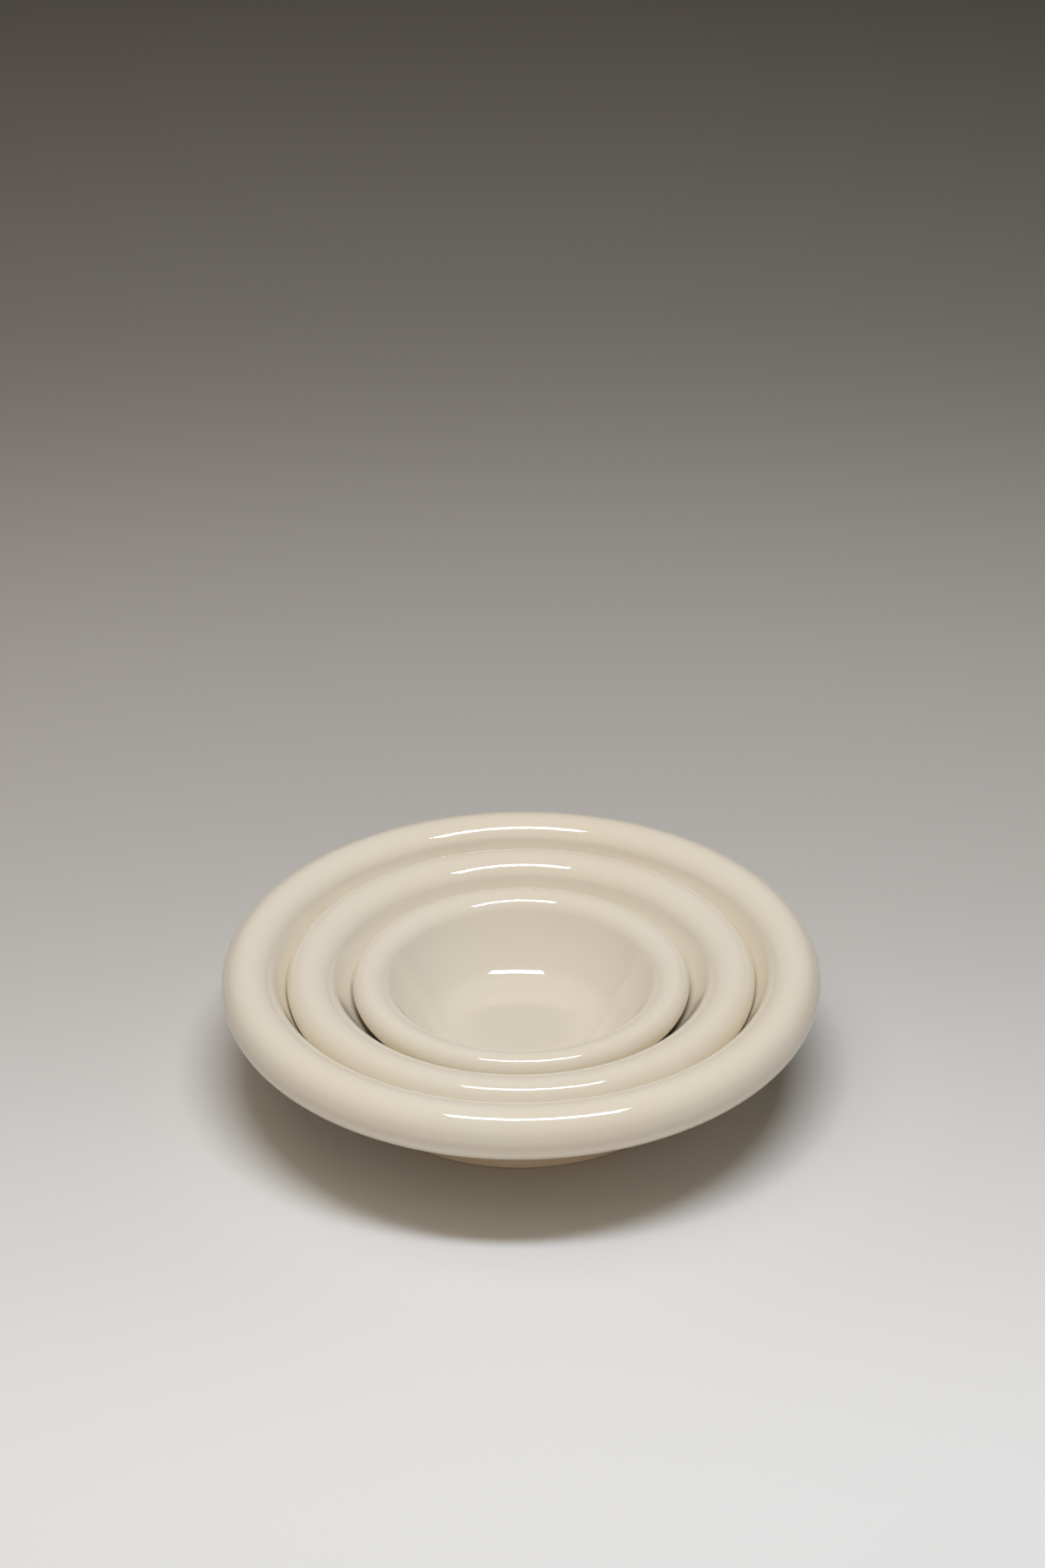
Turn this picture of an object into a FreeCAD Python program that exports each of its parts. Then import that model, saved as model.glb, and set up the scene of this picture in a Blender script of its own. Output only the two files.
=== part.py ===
import FreeCAD, Part
import math
import os
import Sketcher
from FreeCAD import Vector

# A nest of three glazed bowls with fat rolled rims. Each bowl is one casting, turned about Z:
# a level floor, a wall that flares up and out, a thick rolled rim and a foot ring below.
# The bowls stand in each other, foot ring on floor. Origin: centre of the large bowl's foot, +Z up.

doc = FreeCAD.newDocument("nesting_bowls")

# Driving dimensions, in millimetres. Heights of a bowl are above its own foot.
# roll_outer is the rim's round outside, roll_inner the wider round that turns into the bowl.
# wall_spread is how far the wall leans out, from the floor's edge to the middle of the rim.
# corner is the curve from floor to wall, flank the flatter curve from there up to the rim.
# The large bowl has an outer_radius, a rim_height and a foot_reach, which the foot ring stands out
# beyond the floor's edge. An inner bowl follows the bowl around it instead: its rim keeps a rim_gap
# to that bowl's flank and lies a rim_drop lower, and its foot ring stays a foot_inset within that floor.
bowlSizes = {
    "large": {
        "outer_radius": 140.0,
        "rim_height": 64.5,
        "foot_reach": 19.8,
        "wall_spread": 64.7,
        "roll_outer": 11.3,
        "roll_inner": 14.7,
        "floor_height": 5.6,
        "corner": 32.0,
        "flank": 200.0,
        "wall": 5.0,
        "foot_width": 7.0,
    },
    "medium": {
        "rim_gap": 0.5,
        "rim_drop": 5.3,
        "foot_inset": 8.0,
        "wall_spread": 58.1,
        "roll_outer": 9.6,
        "roll_inner": 15.5,
        "floor_height": 8.0,
        "corner": 26.0,
        "flank": 150.0,
        "wall": 4.6,
        "foot_width": 6.0,
    },
    "small": {
        "rim_gap": 1.9,
        "rim_drop": 5.6,
        "foot_inset": 2.0,
        "wall_spread": 43.4,
        "roll_outer": 7.1,
        "roll_inner": 12.3,
        "floor_height": 7.2,
        "corner": 24.0,
        "flank": 100.0,
        "wall": 4.2,
        "foot_width": 5.0,
    },
}
bowlAround = {"medium": "large", "small": "medium"}
sharedSizes = {
    "under_roll": 3.0,
    "foot_edge": 0.9,
}

sheet = doc.addObject("Spreadsheet::Sheet", "sizes")
row = 1


def addSize(alias, number):
    global row
    sheet.set("A" + str(row), alias)
    sheet.set("B" + str(row), str(number))
    sheet.setAlias("B" + str(row), alias)
    row += 1


for bowlName, sizes in bowlSizes.items():
    for sizeName, number in sizes.items():
        addSize(bowlName + "_" + sizeName, number)
for sizeName, number in sharedSizes.items():
    addSize(sizeName, number)
doc.recompute()


def size(alias):
    return float(sheet.get(alias))


def placeBowl(bowl):
    """Formulas for where a bowl's parts lie, kept as BOWL_places; the flank's centre is where two circles cross."""
    formulas = {
        "seat": "0",
        "rim_height": f"sizes.{bowl}_rim_height",
        "roll_radius": f"sizes.{bowl}_outer_radius - sizes.{bowl}_roll_outer",
        "floor_radius": f"roll_radius - sizes.{bowl}_wall_spread",
        "foot_radius": f"floor_radius + sizes.{bowl}_foot_reach",
    }
    if bowl in bowlAround:
        outer = bowlAround[bowl]
        formulas.update({
            "seat": f"{outer}_places.seat + sizes.{outer}_floor_height",
            "rim_height": f"{outer}_places.rim_height - sizes.{outer}_floor_height - sizes.{bowl}_rim_drop",
            "roll_depth": f"{outer}_places.flank_height - sizes.{outer}_floor_height"
                          f" - rim_height + sizes.{bowl}_roll_outer",
            "roll_reach": f"sizes.{outer}_flank - sizes.{bowl}_roll_outer - sizes.{bowl}_rim_gap",
            "roll_radius": f"{outer}_places.flank_radius + sqrt(roll_reach ^ 2 - roll_depth ^ 2)",
            "foot_radius": f"{outer}_places.floor_radius - sizes.{bowl}_foot_inset",
        })
    formulas.update({
        "corner_height": f"sizes.{bowl}_floor_height + sizes.{bowl}_corner",
        "way_up": f"rim_height - sizes.{bowl}_roll_inner - corner_height",
        "way": f"sqrt(sizes.{bowl}_wall_spread ^ 2 + way_up ^ 2)",
        "from_corner": f"sizes.{bowl}_flank - sizes.{bowl}_corner",
        "from_roll": f"sizes.{bowl}_flank + sizes.{bowl}_roll_inner",
        "along": "(way ^ 2 + from_corner ^ 2 - from_roll ^ 2) / (2 * way)",
        "across": "sqrt(from_corner ^ 2 - along ^ 2)",
        "flank_radius": f"floor_radius + (sizes.{bowl}_wall_spread * along - way_up * across) / way",
        "flank_height": f"corner_height + (way_up * along + sizes.{bowl}_wall_spread * across) / way",
    })
    places = doc.addObject("App::VarSet", bowl + "_places")
    for name, formula in formulas.items():
        places.addProperty("App::PropertyFloat", name)
        places.setExpression(name, formula)
    doc.recompute()
    return places


def meet(centreA, radiusA, centreB, radiusB, side):
    """Where two circles cross; side is +1 for the point left of the way from A to B, -1 for the right."""
    way = centreB - centreA
    gap = way.Length
    along = (gap * gap + radiusA * radiusA - radiusB * radiusB) / (2 * gap)
    across = math.sqrt(radiusA * radiusA - along * along)
    forward = way / gap
    left = Vector(-forward.y, forward.x, 0)
    return centreA + forward * along + left * (across * side)


def towards(centre, target, radius):
    """The point of a circle that faces a target."""
    return centre + (target - centre).normalize() * radius


def arc(centre, radius, start, end):
    """An arc from start to end, anticlockwise about its centre."""
    first = math.atan2(start.y - centre.y, start.x - centre.x)
    last = math.atan2(end.y - centre.y, end.x - centre.x)
    if last < first:
        last += 2 * math.pi
    circle = Part.Circle(centre, Vector(0, 0, 1), radius)
    return Part.ArcOfCircle(circle, first, last)


def originPlane(body, role):
    for feature in body.Origin.OriginFeatures:
        if feature.Role == role:
            return feature


def sketchOn(body, name):
    """A sketch in the body's XZ plane, so that its x is the radius and its y the height."""
    sketch = body.newObject("Sketcher::SketchObject", name)
    sketch.AttachmentSupport = [(originPlane(body, "XZ_Plane"), "")]
    sketch.MapMode = "FlatFace"
    return sketch


def bind(sketch, kind, where, value, formula):
    """A dimension of a sketch, tied to the sheet by a formula."""
    index = sketch.addConstraint(Sketcher.Constraint(kind, *where, value))
    sketch.setExpression("Constraints[" + str(index) + "]", formula)


START, END, CENTRE = 1, 2, 3
AXIS = -1


def bowlWall(body, bowl):
    """The bowl's turned section: floor, corner, flank, rolled rim and the outside a wall's thickness away."""
    places = doc.getObject(bowl + "_places")
    rimHeight = places.rim_height
    rollOuter = size(bowl + "_roll_outer")
    rollInner = size(bowl + "_roll_inner")
    floorHeight = size(bowl + "_floor_height")
    corner = size(bowl + "_corner")
    flank = size(bowl + "_flank")
    wall = size(bowl + "_wall")
    underRoll = size("under_roll")

    cornerCentre = Vector(places.floor_radius, places.corner_height, 0)
    innerRollCentre = Vector(places.roll_radius, rimHeight - rollInner, 0)
    outerRollCentre = Vector(places.roll_radius, rimHeight - rollOuter, 0)
    flankCentre = Vector(places.flank_radius, places.flank_height, 0)
    underCentre = meet(flankCentre, flank + wall + underRoll, outerRollCentre, rollOuter + underRoll, -1)

    floorMiddle = Vector(0, floorHeight, 0)
    floorEnd = cornerCentre - Vector(0, corner, 0)
    cornerEnd = towards(flankCentre, cornerCentre, flank)
    flankEnd = towards(flankCentre, innerRollCentre, flank)
    rimTop = Vector(places.roll_radius, rimHeight, 0)
    rollEnd = towards(outerRollCentre, underCentre, rollOuter)
    outerFlankTop = towards(flankCentre, underCentre, flank + wall)
    outerFlankEnd = towards(flankCentre, cornerCentre, flank + wall)
    baseEnd = cornerCentre - Vector(0, corner + wall, 0)
    baseMiddle = Vector(0, floorHeight - wall, 0)

    sketch = sketchOn(body, bowl + "_section")
    floorLine, cornerArc, flankArc, innerRollArc, outerRollArc = range(5)
    underArc, outerFlankArc, outerCornerArc, baseLine, axisLine = range(5, 10)
    sketch.addGeometry([
        Part.LineSegment(floorMiddle, floorEnd),
        arc(cornerCentre, corner, floorEnd, cornerEnd),
        arc(flankCentre, flank, cornerEnd, flankEnd),
        arc(innerRollCentre, rollInner, rimTop, flankEnd),
        arc(outerRollCentre, rollOuter, rollEnd, rimTop),
        arc(underCentre, underRoll, rollEnd, outerFlankTop),
        arc(flankCentre, flank + wall, outerFlankEnd, outerFlankTop),
        arc(cornerCentre, corner + wall, baseEnd, outerFlankEnd),
        Part.LineSegment(baseEnd, baseMiddle),
        Part.LineSegment(baseMiddle, floorMiddle),
    ], False)

    # Each pair of neighbours meets smoothly, end to end.
    for first, firstEnd, second, secondEnd in (
        (floorLine, END, cornerArc, START),
        (cornerArc, END, flankArc, START),
        (flankArc, END, innerRollArc, END),
        (innerRollArc, START, outerRollArc, END),
        (outerRollArc, START, underArc, START),
        (underArc, END, outerFlankArc, END),
        (outerFlankArc, START, outerCornerArc, END),
        (outerCornerArc, START, baseLine, START),
    ):
        sketch.addConstraint(Sketcher.Constraint("Tangent", first, firstEnd, second, secondEnd))
    sketch.addConstraint(Sketcher.Constraint("Coincident", baseLine, END, axisLine, START))
    sketch.addConstraint(Sketcher.Constraint("Coincident", axisLine, END, floorLine, START))
    sketch.addConstraint(Sketcher.Constraint("PointOnObject", floorLine, START, -2))
    sketch.addConstraint(Sketcher.Constraint("Vertical", axisLine))
    sketch.addConstraint(Sketcher.Constraint("Horizontal", floorLine))
    sketch.addConstraint(Sketcher.Constraint("Horizontal", baseLine))
    sketch.addConstraint(Sketcher.Constraint("Coincident", outerFlankArc, CENTRE, flankArc, CENTRE))
    sketch.addConstraint(Sketcher.Constraint("Coincident", outerCornerArc, CENTRE, cornerArc, CENTRE))
    sketch.addConstraint(Sketcher.Constraint("Vertical", innerRollArc, CENTRE, outerRollArc, CENTRE))

    cell = "sizes." + bowl + "_"
    place = bowl + "_places."
    origin = (AXIS, START)
    bind(sketch, "DistanceY", (*origin, floorLine, START), floorHeight, cell + "floor_height")
    bind(sketch, "DistanceX", (*origin, floorLine, END), floorEnd.x, place + "floor_radius")
    bind(sketch, "DistanceX", (*origin, outerRollArc, CENTRE), rimTop.x, place + "roll_radius")
    bind(sketch, "DistanceY", (*origin, innerRollArc, START), rimHeight, place + "rim_height")
    bind(sketch, "Radius", (cornerArc,), corner, cell + "corner")
    bind(sketch, "Radius", (flankArc,), flank, cell + "flank")
    bind(sketch, "Radius", (innerRollArc,), rollInner, cell + "roll_inner")
    bind(sketch, "Radius", (outerRollArc,), rollOuter, cell + "roll_outer")
    bind(sketch, "Radius", (underArc,), underRoll, "sizes.under_roll")
    bind(sketch, "Radius", (outerFlankArc,), flank + wall, cell + "flank + " + cell + "wall")
    return sketch


def footRing(body, bowl):
    """The foot ring's section: straight sides, softened edges below, and a top inside the bowl's wall."""
    places = doc.getObject(bowl + "_places")
    outside = places.foot_radius
    inside = outside - size(bowl + "_foot_width")
    edge = size("foot_edge")
    cornerCentre = Vector(places.floor_radius, places.corner_height, 0)
    midWall = size(bowl + "_corner") + size(bowl + "_wall") / 2

    def wallAt(radius):
        depth = math.sqrt(midWall ** 2 - (radius - cornerCentre.x) ** 2)
        return Vector(radius, cornerCentre.y - depth, 0)

    sketch = sketchOn(body, bowl + "_foot_section")
    bottom, outerEdge, outerSide, top, innerSide, innerEdge = range(6)
    sketch.addGeometry([
        Part.LineSegment(Vector(inside + edge, 0, 0), Vector(outside - edge, 0, 0)),
        arc(Vector(outside - edge, edge, 0), edge, Vector(outside - edge, 0, 0), Vector(outside, edge, 0)),
        Part.LineSegment(Vector(outside, edge, 0), wallAt(outside)),
        arc(cornerCentre, midWall, wallAt(inside), wallAt(outside)),
        Part.LineSegment(wallAt(inside), Vector(inside, edge, 0)),
        arc(Vector(inside + edge, edge, 0), edge, Vector(inside, edge, 0), Vector(inside + edge, 0, 0)),
    ], False)
    for first, firstEnd, second, secondEnd in (
        (bottom, END, outerEdge, START),
        (outerEdge, END, outerSide, START),
        (innerSide, END, innerEdge, START),
        (innerEdge, END, bottom, START),
    ):
        sketch.addConstraint(Sketcher.Constraint("Tangent", first, firstEnd, second, secondEnd))
    sketch.addConstraint(Sketcher.Constraint("Coincident", outerSide, END, top, END))
    sketch.addConstraint(Sketcher.Constraint("Coincident", innerSide, START, top, START))
    sketch.addConstraint(Sketcher.Constraint("PointOnObject", bottom, START, AXIS))
    sketch.addConstraint(Sketcher.Constraint("Horizontal", bottom))
    sketch.addConstraint(Sketcher.Constraint("Vertical", outerSide))
    sketch.addConstraint(Sketcher.Constraint("Vertical", innerSide))
    sketch.addConstraint(Sketcher.Constraint("Equal", outerEdge, innerEdge))

    cell = "sizes." + bowl + "_"
    place = bowl + "_places."
    origin = (AXIS, START)
    bind(sketch, "DistanceX", (*origin, outerSide, START), outside, place + "foot_radius")
    bind(sketch, "DistanceX", (*origin, innerSide, START), inside, place + "foot_radius - " + cell + "foot_width")
    bind(sketch, "Radius", (outerEdge,), edge, "sizes.foot_edge")
    bind(sketch, "DistanceX", (*origin, top, CENTRE), cornerCentre.x, place + "floor_radius")
    bind(sketch, "DistanceY", (*origin, top, CENTRE), cornerCentre.y, place + "corner_height")
    bind(sketch, "Radius", (top,), midWall, cell + "corner + " + cell + "wall / 2")
    return sketch


def turned(body, sketch, name):
    """A full turn of a section about the bowl's own axis."""
    feature = body.newObject("PartDesign::Revolution", name)
    feature.Profile = sketch
    feature.ReferenceAxis = (sketch, ["V_Axis"])
    feature.Angle = 360.0
    return feature


def makeBowl(bowl):
    """One bowl as a body of its own, standing at the height where its foot ring is seated."""
    placeBowl(bowl)
    body = doc.addObject("PartDesign::Body", bowl + "_bowl")
    body.Label = bowl + "_bowl"
    turned(body, bowlWall(body, bowl), bowl + "_casting")
    turned(body, footRing(body, bowl), bowl + "_foot_ring")
    body.setExpression("Placement.Base.z", bowl + "_places.seat")
    return body


bowls = [makeBowl(bowl) for bowl in bowlSizes]
doc.recompute()

for item in doc.Objects:
    if "Invalid" in item.State or "Error" in item.State:
        raise RuntimeError(item.Label + " failed: " + str(item.State))
for body in bowls:
    shape = body.Shape
    if shape.isNull() or not shape.isValid() or len(shape.Solids) != 1:
        raise RuntimeError(body.Label + " is not one valid solid")

os.makedirs("parts", exist_ok=True)
for body in bowls:
    body.Shape.exportStep("parts/" + body.Label + ".step")
    box = body.Shape.optimalBoundingBox()
    print(body.Label, "height", round(box.ZMin, 2), "to", round(box.ZMax, 2),
          "radius", round(box.XMax, 2), "volume", round(body.Shape.Volume / 1000, 1), "cm3")
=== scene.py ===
import math
import bpy
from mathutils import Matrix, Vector


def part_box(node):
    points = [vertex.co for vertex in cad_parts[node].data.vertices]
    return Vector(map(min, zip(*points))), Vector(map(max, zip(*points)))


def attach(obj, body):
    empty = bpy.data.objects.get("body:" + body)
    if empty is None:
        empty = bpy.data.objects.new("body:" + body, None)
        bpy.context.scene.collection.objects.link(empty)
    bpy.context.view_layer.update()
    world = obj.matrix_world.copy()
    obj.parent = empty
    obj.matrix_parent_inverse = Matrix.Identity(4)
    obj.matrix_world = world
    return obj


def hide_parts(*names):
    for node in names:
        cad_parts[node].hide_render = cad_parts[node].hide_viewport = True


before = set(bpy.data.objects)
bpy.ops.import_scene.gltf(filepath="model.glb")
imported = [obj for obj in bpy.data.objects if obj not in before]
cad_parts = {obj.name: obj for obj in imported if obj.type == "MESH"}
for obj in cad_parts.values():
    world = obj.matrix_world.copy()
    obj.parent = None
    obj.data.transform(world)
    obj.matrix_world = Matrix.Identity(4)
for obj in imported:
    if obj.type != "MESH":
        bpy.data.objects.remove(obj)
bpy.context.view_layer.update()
scene = bpy.context.scene
mm = 0.001
print("frame loaded:", len(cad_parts), "nodes")


# ---- camera: a 60 mm lens looking down on the nest from a standing person's reach ----

camera = {
    "lens": 60.0,  # mm, on a sensor 36 mm along its long side
    "sensor": 36.0,
    "reach": 50.0,  # metres, the farthest it sees
    "place": (0.0, -1.035, 0.713),  # metres
    "tilt": 61.52,  # degrees up from looking straight down
    "roll": 0.47,
    "turn": -0.34,
}


def makeCamera(spec):
    data = bpy.data.cameras.new("camera")
    data.lens = spec["lens"]
    data.sensor_width = spec["sensor"]
    data.clip_end = spec["reach"]
    obj = bpy.data.objects.new("camera", data)
    obj.location = spec["place"]
    obj.rotation_euler = [math.radians(spec[angle]) for angle in ("tilt", "roll", "turn")]
    scene.collection.objects.link(obj)
    scene.camera = obj


makeCamera(camera)
print("camera placed")


# ---- node helpers ----

def newMaterial(name):
    material = bpy.data.materials.new(name)
    material.use_nodes = True
    tree = material.node_tree
    where = tree.nodes.new("ShaderNodeTexCoord").outputs["Object"]
    return material, tree, tree.nodes["Principled BSDF"], where


def addNoise(tree, where, scale, detail, roughness=0.5):
    node = tree.nodes.new("ShaderNodeTexNoise")
    node.inputs["Scale"].default_value = scale
    node.inputs["Detail"].default_value = detail
    node.inputs["Roughness"].default_value = roughness
    tree.links.new(where, node.inputs["Vector"])
    return node.outputs["Fac"]


def spread(tree, source, low, high, fromLow=0.3, fromHigh=0.7):
    # stretches a value over a chosen range; a noise mostly keeps between 0.3 and 0.7
    node = tree.nodes.new("ShaderNodeMapRange")
    node.inputs["From Min"].default_value = fromLow
    node.inputs["From Max"].default_value = fromHigh
    node.inputs["To Min"].default_value = low
    node.inputs["To Max"].default_value = high
    tree.links.new(source, node.inputs["Value"])
    return node.outputs["Result"]


def feed(tree, source, socket):
    # the source is a fixed colour or another node's output
    if isinstance(source, bpy.types.NodeSocket):
        tree.links.new(source, socket)
    else:
        socket.default_value = source


def blendColors(tree, factor, first, second):
    node = tree.nodes.new("ShaderNodeMix")
    node.data_type = "RGBA"
    tree.links.new(factor, node.inputs[0])
    feed(tree, first, node.inputs[6])
    feed(tree, second, node.inputs[7])
    return node.outputs[2]


def roughen(tree, shader, height, depth):
    # raises the surface a little where the height is large
    bump = tree.nodes.new("ShaderNodeBump")
    bump.inputs["Strength"].default_value = 1.0
    bump.inputs["Distance"].default_value = depth
    tree.links.new(height, bump.inputs["Height"])
    tree.links.new(bump.outputs["Normal"], shader.inputs["Normal"])


def fromAxis(tree, where):
    # distance from the bowls' common axis
    level = tree.nodes.new("ShaderNodeVectorMath")
    level.operation = "MULTIPLY"
    level.inputs[1].default_value = (1.0, 1.0, 0.0)
    tree.links.new(where, level.inputs[0])
    reach = tree.nodes.new("ShaderNodeVectorMath")
    reach.operation = "LENGTH"
    tree.links.new(level.outputs["Vector"], reach.inputs[0])
    return reach.outputs["Value"]


# ---- finishes: noise scales are per metre, depths and distances in metres ----

glaze = {
    "color": (0.805, 0.740, 0.617, 1.0),
    "warmColor": (0.795, 0.712, 0.575, 1.0),  # where the glaze lies thicker
    "paintedShadeColor": (0.712, 0.646, 0.533, 1.0),  # painted shade: darker glaze towards the middle of each bowl's floor
    "paintedShadeEdges": (0.020, 0.055),  # from the axis, from full painted shade to none
    "cloudSize": 9.0,
    "cloudDetail": 3.0,
    "cloudRoughness": 0.45,
    "roughLow": 0.02,
    "roughHigh": 0.04,
    "rippleSize": 45.0,
    "rippleDetail": 1.0,
    "rippleDepth": 0.000003,
    "ior": 1.5,
}


def makeGlaze(spec):
    material, tree, shader, where = newMaterial("ivoryGlaze")
    cloud = addNoise(tree, where, spec["cloudSize"], spec["cloudDetail"], spec["cloudRoughness"])
    clouded = blendColors(tree, spread(tree, cloud, 0.0, 1.0), spec["color"], spec["warmColor"])
    # painted shade: the glaze colour darkens towards the bowls' axis
    paintedShade = spread(tree, fromAxis(tree, where), 1.0, 0.0, *spec["paintedShadeEdges"])
    tree.links.new(blendColors(tree, paintedShade, clouded, spec["paintedShadeColor"]), shader.inputs["Base Color"])
    rough = spread(tree, cloud, spec["roughLow"], spec["roughHigh"])
    tree.links.new(rough, shader.inputs["Roughness"])
    ripple = addNoise(tree, where, spec["rippleSize"], spec["rippleDetail"])
    roughen(tree, shader, ripple, spec["rippleDepth"])
    shader.inputs["IOR"].default_value = spec["ior"]
    return material


clay = {
    "color": (0.88, 0.74, 0.57, 1.0),
    "darkColor": (0.81, 0.66, 0.50, 1.0),
    "grainSize": 900.0,
    "grainDetail": 4.0,
    "grainRoughness": 0.6,
    "grainDepth": 0.00008,
    "rough": 0.85,
}


def makeClay(spec):
    material, tree, shader, where = newMaterial("bareClay")
    grain = addNoise(tree, where, spec["grainSize"], spec["grainDetail"], spec["grainRoughness"])
    speckled = blendColors(tree, spread(tree, grain, 0.0, 1.0), spec["color"], spec["darkColor"])
    tree.links.new(speckled, shader.inputs["Base Color"])
    roughen(tree, shader, grain, spec["grainDepth"])
    shader.inputs["Roughness"].default_value = spec["rough"]
    return material


ivoryGlaze = makeGlaze(glaze)
bareClay = makeClay(clay)
print("finishes made")


# ---- bowls: sizes in mm, heights above each bowl's own foot ----

largeBowl = {
    "rollOuter": 11.8,
    "rollInner": 14.7,
    "floorHeight": 5.6,
    "floorRadius": 64.0,
    "corner": 32.0,
    "flank": 200.0,
    "wall": 5.0,
    "footRadius": 83.8,
    "footWidth": 7.0,
    "squashTurn": 0.4,  # radians, which way the bowl is out of round
}
mediumBowl = {
    "rollOuter": 9.6,
    "rollInner": 15.5,
    "floorHeight": 8.0,
    "floorRadius": 42.0,
    "corner": 26.0,
    "flank": 150.0,
    "wall": 4.6,
    "footRadius": 56.0,
    "footWidth": 6.0,
    "squashTurn": 2.1,
}
smallBowl = {
    "rollOuter": 7.1,
    "rollInner": 12.3,
    "floorHeight": 7.2,
    "floorRadius": 28.6,
    "corner": 24.0,
    "flank": 100.0,
    "wall": 4.2,
    "footRadius": 40.0,
    "footWidth": 5.0,
    "squashTurn": 4.0,
}
making = {
    "underRoll": 3.0,  # soft turn between rim and wall
    "footTurn": 1.6,  # glaze gathered where the foot ring leaves the wall
    "footEdge": 0.9,
    "clearance": 0.06,  # how far the outside keeps within the casting's own box
    "outOfRound": 0.12,
    "segments": 360,  # around the axis
    "curveStep": 0.035,  # radians between the points of a wide curve
    "underStep": 0.2,
    "turnStep": 0.25,
    "edgeStep": 0.3,
    "floorSteps": 16,
    "baseSteps": 12,
    "footSteps": 3,
}


def meet(centreA, radiusA, centreB, radiusB, side):
    # crossing of two circles: side +1 lies left of the way from A to B
    way = centreB - centreA
    gap = way.length
    along = (gap * gap + radiusA * radiusA - radiusB * radiusB) / (2 * gap)
    across = math.sqrt(radiusA * radiusA - along * along)
    forward = way / gap
    return centreA + forward * along + Vector((-forward.y, forward.x)) * (across * side)


def towards(centre, target, radius):
    return centre + (target - centre).normalized() * radius


def bend(centre, start, end, turn, step=making["curveStep"]):
    # points of an arc after its start; turn is +1 anticlockwise, -1 clockwise
    first = math.atan2(start.y - centre.y, start.x - centre.x)
    last = math.atan2(end.y - centre.y, end.x - centre.x)
    sweep = (last - first) * turn % (2 * math.pi)
    radius = (start - centre).length
    count = max(4, math.ceil(sweep / step))
    angles = [first + turn * sweep * i / count for i in range(1, count + 1)]
    return [centre + Vector((math.cos(angle), math.sin(angle))) * radius for angle in angles]


def run(start, end, count):
    # points of a straight stretch after its start
    return [start.lerp(end, i / count) for i in range(1, count + 1)]


def bowlOutline(spec, outerRadius, rimHeight):
    # half section from the middle of the floor, over the rim and round the foot ring to the middle
    # of the base, and which of its stretches stay unglazed
    floor, corner, flank, wall = (spec[key] for key in ("floorHeight", "corner", "flank", "wall"))
    rollOuter, rollInner = spec["rollOuter"], spec["rollInner"]
    under, footTurn, edge = making["underRoll"], making["footTurn"], making["footEdge"]
    rollRadius = outerRadius - rollOuter
    cornerCentre = Vector((spec["floorRadius"], floor + corner))
    innerRoll = Vector((rollRadius, rimHeight - rollInner))
    outerRoll = Vector((rollRadius, rimHeight - rollOuter))
    flankCentre = meet(cornerCentre, flank - corner, innerRoll, flank + rollInner, 1)
    underCentre = meet(flankCentre, flank + wall + under, outerRoll, rollOuter + under, -1)

    def footTurnCentre(radius):
        reach = corner + wall + footTurn
        drop = math.sqrt(reach ** 2 - (radius - cornerCentre.x) ** 2)
        return Vector((radius, cornerCentre.y - drop))

    footOut, footIn = spec["footRadius"], spec["footRadius"] - spec["footWidth"]
    outerTurn = footTurnCentre(footOut + footTurn)
    innerTurn = footTurnCentre(footIn - footTurn)

    floorEnd = cornerCentre - Vector((0, corner))
    cornerEnd = towards(flankCentre, cornerCentre, flank)
    flankEnd = towards(flankCentre, innerRoll, flank)
    rimTop = Vector((rollRadius, rimHeight))
    rollEnd = towards(outerRoll, underCentre, rollOuter)
    outerFlankTop = towards(flankCentre, underCentre, flank + wall)
    outerFlankEnd = towards(flankCentre, cornerCentre, flank + wall)
    outerWallEnd = towards(cornerCentre, outerTurn, corner + wall)
    baseTurn = towards(cornerCentre, innerTurn, corner + wall)
    baseEnd = cornerCentre - Vector((0, corner + wall))

    # inside of the bowl, rim and outside of the wall
    points = [Vector((0, floor))]
    points += run(points[-1], floorEnd, making["floorSteps"])
    points += bend(cornerCentre, floorEnd, cornerEnd, 1)
    points += bend(flankCentre, cornerEnd, flankEnd, 1)
    points += bend(innerRoll, flankEnd, rimTop, -1)
    points += bend(outerRoll, rimTop, rollEnd, -1)
    points += bend(underCentre, rollEnd, outerFlankTop, 1, making["underStep"])
    points += bend(flankCentre, outerFlankTop, outerFlankEnd, -1)
    points += bend(cornerCentre, outerFlankEnd, outerWallEnd, -1)

    # foot ring
    turnStep, edgeStep, footSteps = making["turnStep"], making["edgeStep"], making["footSteps"]
    points += bend(outerTurn, outerWallEnd, outerTurn - Vector((footTurn, 0)), 1, turnStep)
    bareFrom = len(points) - 1
    points += run(points[-1], Vector((footOut, edge)), footSteps)
    points += bend(Vector((footOut - edge, edge)), points[-1], Vector((footOut - edge, 0)), -1, edgeStep)
    points += run(points[-1], Vector((footIn + edge, 0)), footSteps)
    points += bend(Vector((footIn + edge, edge)), points[-1], Vector((footIn, edge)), -1, edgeStep)
    points += run(points[-1], innerTurn + Vector((footTurn, 0)), footSteps)
    bare = range(bareFrom, len(points) - 1)
    points += bend(innerTurn, points[-1], baseTurn, 1, turnStep)

    # base inside the foot ring
    points += bend(cornerCentre, baseTurn, baseEnd, -1)
    points += run(points[-1], Vector((0, baseEnd.y)), making["baseSteps"])
    return points, bare


def turnedFaces(rings, bare, count):
    # corners and material of each face: vertices 0 and 1 are the middles of floor and base
    corners, finishes = [], []
    last = 2 + (rings - 1) * count
    for k in range(count):
        following = (k + 1) % count
        corners += [(0, 2 + k, 2 + following), (1, last + following, last + k)]
        finishes += [0, 0]
    for i in range(rings - 1):
        here, there = 2 + i * count, 2 + (i + 1) * count
        for k in range(count):
            following = (k + 1) % count
            corners.append((here + k, there + k, there + following, here + following))
            finishes.append(1 if i + 1 in bare else 0)
    return corners, finishes


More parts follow.
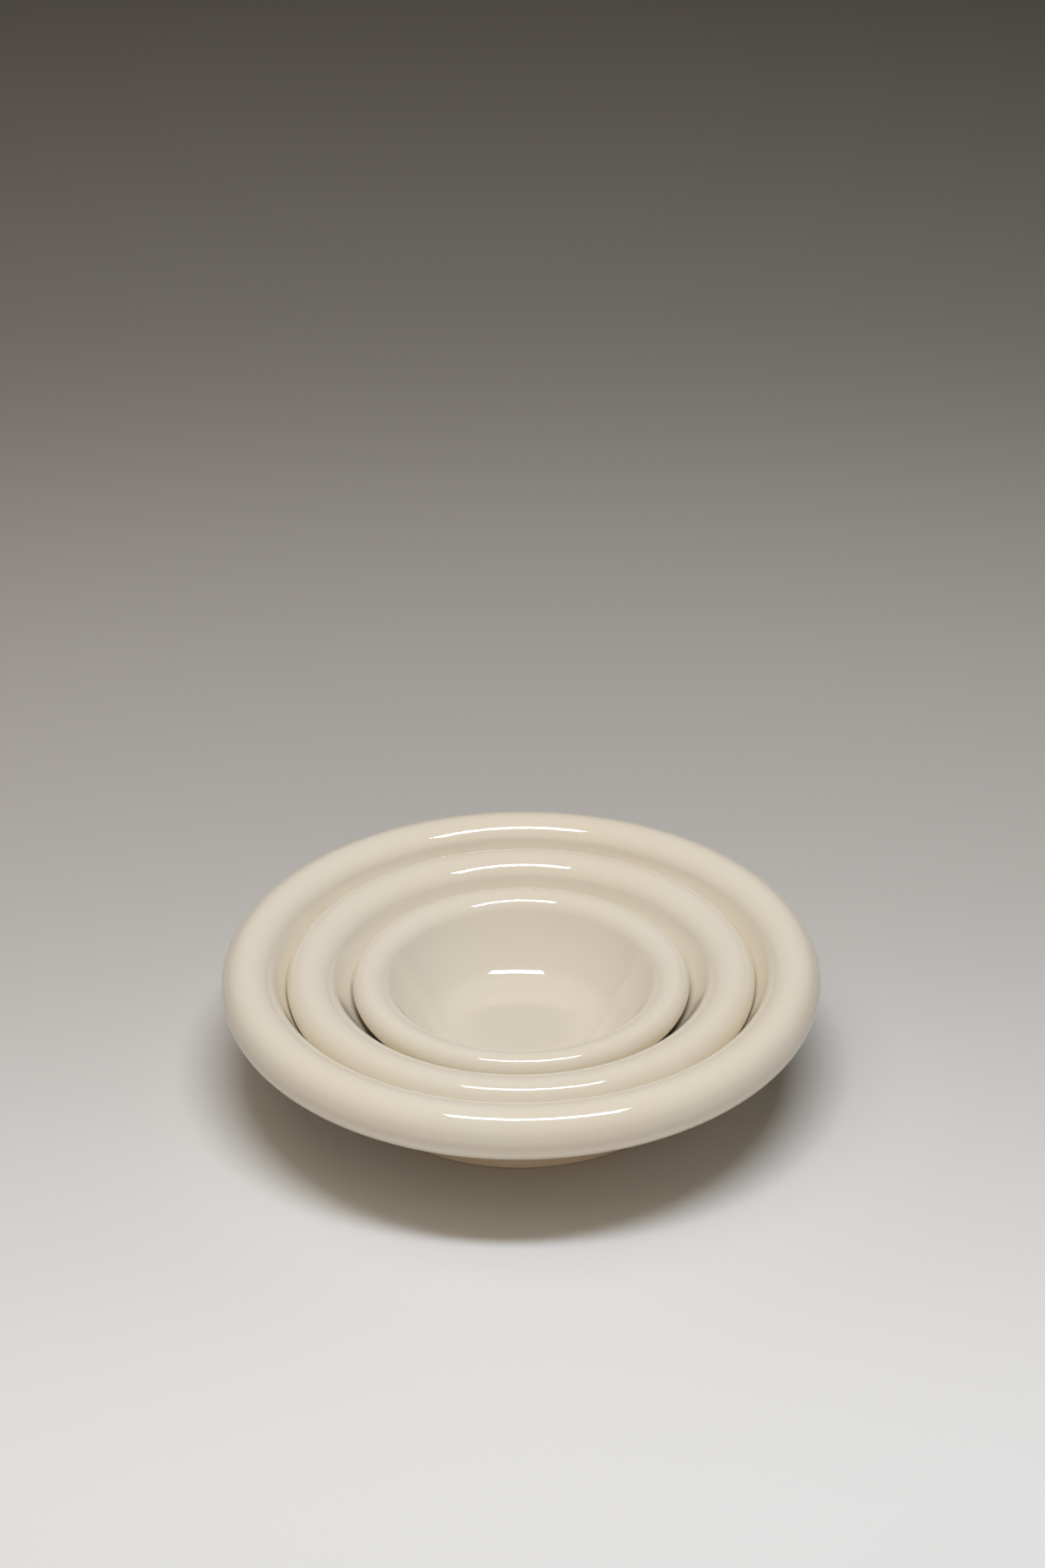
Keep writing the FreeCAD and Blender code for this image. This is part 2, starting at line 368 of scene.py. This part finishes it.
def makeBowl(name, spec):
    low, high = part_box(name)
    footLevel = low[2] / mm + making["clearance"] / 2
    rimHeight = (high[2] - low[2]) / mm - making["clearance"]
    outerRadius = min(high[0], -low[0], high[1], -low[1]) / mm - making["clearance"]
    outline, bare = bowlOutline(spec, outerRadius, rimHeight)

    count = making["segments"]
    rings = outline[1:-1]
    verts = [(0.0, 0.0, outline[0].y), (0.0, 0.0, outline[-1].y)]
    for point in rings:
        for k in range(count):
            angle = 2 * math.pi * k / count
            squeeze = 0.5 * (1 + math.cos(2 * angle + spec["squashTurn"]))
            radius = point.x * (1 - making["outOfRound"] / outerRadius * squeeze)
            verts.append((radius * math.cos(angle), radius * math.sin(angle), point.y))
    corners, finishes = turnedFaces(len(rings), bare, count)

    mesh = bpy.data.meshes.new(name + "Skin")
    mesh.from_pydata([(x * mm, y * mm, (z + footLevel) * mm) for x, y, z in verts], [], corners)
    mesh.materials.append(ivoryGlaze)
    mesh.materials.append(bareClay)
    for polygon, finish in zip(mesh.polygons, finishes):
        polygon.use_smooth = True
        polygon.material_index = finish
    mesh.update()
    obj = bpy.data.objects.new(name + "_skin", mesh)
    scene.collection.objects.link(obj)
    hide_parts(name)
    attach(obj, name)


makeBowl("large_bowl", largeBowl)
makeBowl("medium_bowl", mediumBowl)
makeBowl("small_bowl", smallBowl)
print("bowls made")


# ---- floor: a sheet of paper, pale in front and taupe far behind as painted light falloff, with painted shadow just in front of the bowls ----

paper = {
    "half": 6.0,  # metres from the middle to a side
    "rough": 0.6,
    "sheen": 0.2,
    "tones": (  # metres behind the bowls' middle, colour; painted light falloff towards the back, painted shadow at -0.15
        (-0.30, (0.850, 0.850, 0.840)),
        (-0.15, (0.785, 0.778, 0.762)),
        (0.07, (0.565, 0.545, 0.518)),
        (0.30, (0.505, 0.482, 0.460)),
        (0.52, (0.475, 0.455, 0.430)),
        (0.86, (0.370, 0.352, 0.330)),
        (1.27, (0.335, 0.322, 0.305)),
        (2.40, (0.450, 0.440, 0.440)),
    ),
}


def paintPaperFalloff(tree, where, tones):
    # a smooth run of tones from front to back, which paints the light's falloff and a shadow in front of
    # the bowls
    apart = tree.nodes.new("ShaderNodeSeparateXYZ")
    tree.links.new(where, apart.inputs["Vector"])
    first, last = tones[0][0], tones[-1][0]
    ramp = tree.nodes.new("ShaderNodeValToRGB")
    ramp.color_ramp.interpolation = "B_SPLINE"
    tree.links.new(spread(tree, apart.outputs["Y"], 0.0, 1.0, first, last), ramp.inputs["Fac"])
    elements = ramp.color_ramp.elements
    while len(elements) < len(tones):
        elements.new(1.0)
    for element, (distance, color) in zip(elements, tones):
        element.position = (distance - first) / (last - first)
        element.color = (*color, 1.0)
    return ramp.outputs["Color"]


def makeFloor(spec):
    half = spec["half"]
    corners = [(-half, -half, 0), (half, -half, 0), (half, half, 0), (-half, half, 0)]
    mesh = bpy.data.meshes.new("floor")
    mesh.from_pydata(corners, [], [(0, 1, 2, 3)])
    material, tree, shader, where = newMaterial("paperFloor")
    tree.links.new(paintPaperFalloff(tree, where, spec["tones"]), shader.inputs["Base Color"])
    shader.inputs["Roughness"].default_value = spec["rough"]
    shader.inputs["Specular IOR Level"].default_value = spec["sheen"]
    mesh.materials.append(material)
    obj = bpy.data.objects.new("floor", mesh)
    scene.collection.objects.link(obj)


makeFloor(paper)
print("floor laid")


# ---- light: a softbox that glints, a wide soft ceiling and a weak low front, in a dim warm room ----

softbox = {
    "place": (0.10, -0.22, 1.579),
    "aim": (0.10, -0.22, 0.0),
    "size": (1.02, 0.22),
    "turn": -4.0,  # degrees anticlockwise, seen from above
    "power": 17.8,
    "color": (0.80, 0.87, 0.98),
    "glints": True,
}
ceiling = {
    "place": (-0.4, -0.25, 2.2),
    "aim": (-0.4, -0.25, 0.0),
    "size": (2.4, 2.6),
    "turn": 0.0,
    "power": 22.5,
    "color": (1.0, 0.86, 0.68),
    "glints": False,
}
lowFront = {
    "place": (0.0, -2.2, 0.22),
    "aim": (0.0, 0.0, 0.04),
    "size": (2.4, 0.3),
    "turn": 0.0,
    "power": 6.4,
    "color": (1.0, 0.88, 0.76),
    "glints": False,
}
studio = {
    "color": (1.0, 0.82, 0.60, 1.0),
    "strength": 0.045,
}


def makeLamp(name, spec):
    data = bpy.data.lights.new(name, "AREA")
    data.shape = "RECTANGLE"
    data.size, data.size_y = spec["size"]
    data.energy = spec["power"]
    data.color = spec["color"]
    obj = bpy.data.objects.new(name, data)
    obj.location = spec["place"]
    direction = Vector(spec["aim"]) - Vector(spec["place"])
    obj.rotation_euler = direction.to_track_quat("-Z", "Y").to_euler()
    obj.rotation_euler.rotate_axis("Z", math.radians(spec["turn"]))
    obj.visible_glossy = spec["glints"]
    scene.collection.objects.link(obj)


def makeStudio(spec):
    world = bpy.data.worlds.new("studio")
    world.use_nodes = True
    background = world.node_tree.nodes["Background"]
    background.inputs["Color"].default_value = spec["color"]
    background.inputs["Strength"].default_value = spec["strength"]
    scene.world = world


makeLamp("softbox", softbox)
makeLamp("ceiling", ceiling)
makeLamp("lowFront", lowFront)
makeStudio(studio)
scene.view_settings.view_transform = "Standard"
print("lights set")
